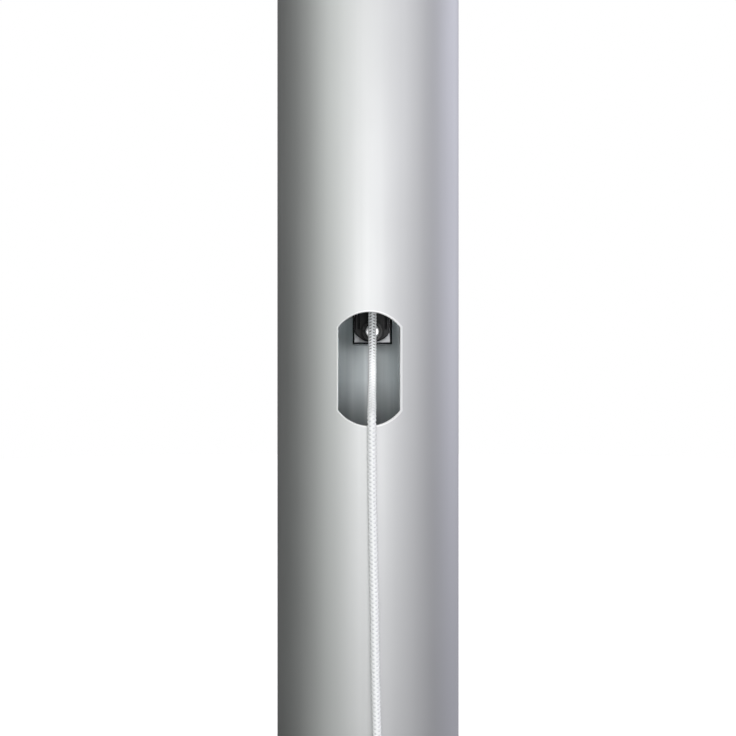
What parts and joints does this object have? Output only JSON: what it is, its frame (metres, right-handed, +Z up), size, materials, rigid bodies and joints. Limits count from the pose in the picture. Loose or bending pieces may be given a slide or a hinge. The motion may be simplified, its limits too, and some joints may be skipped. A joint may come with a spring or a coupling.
{
  "type": "flagpole shaft section with internal halyard outlet",
  "caption": "Round satin aluminium flagpole shaft section with a slot-shaped rope outlet, a pulley block inside it and a white braided halyard hanging out over the lip.",
  "frame": {"origin": "middle of the shaft's foot, on its cut face", "axes": "+Z up the shaft, -Y out through the rope outlet, +X to the right of it as one faces it"},
  "size_m": [0.09, 0.1033, 0.7],
  "materials": {
    "anodised_shaft": "satin anodised, with fine lines along the extrusion",
    "housing_metal": "bare, dull",
    "edging": "matt black edging",
    "bright_plate": "bright zinc",
    "black_body": "moulded black nylon",
    "sheave_black": "turned black acetal, slight gloss",
    "polished_steel": "polished stainless steel",
    "steel": "stainless steel",
    "rivet": "plain aluminium rivet head",
    "rope": "white braided polyester"
  },
  "bodies": {
    "shaft": {"pole_shaft": "anodised_shaft", "block_housing": "housing_metal", "edge_trim": "edging", "back_plate": "bright_plate", "block_body": "black_body", "axle_washer": "steel", "axle_pin": "polished_steel", "axle_nut": "steel", "guide_eye": "steel", "eye_screw": "steel", "eye_nut": "steel", "upper_rivet": "rivet", "lower_rivet": "rivet", "stopper_knot": "rope", "halyard": "rope", "tail_knot": "rope"},
    "wheel": {"sheave": "sheave_black"}
  },
  "joints": [
    {"name": "sheave_spin", "type": "hinge", "parent": "shaft", "child": "wheel", "pos_m": [0.0022, 0.0135, 0.3792], "axis": [0, 1, 0], "continuous": true}
  ]
}
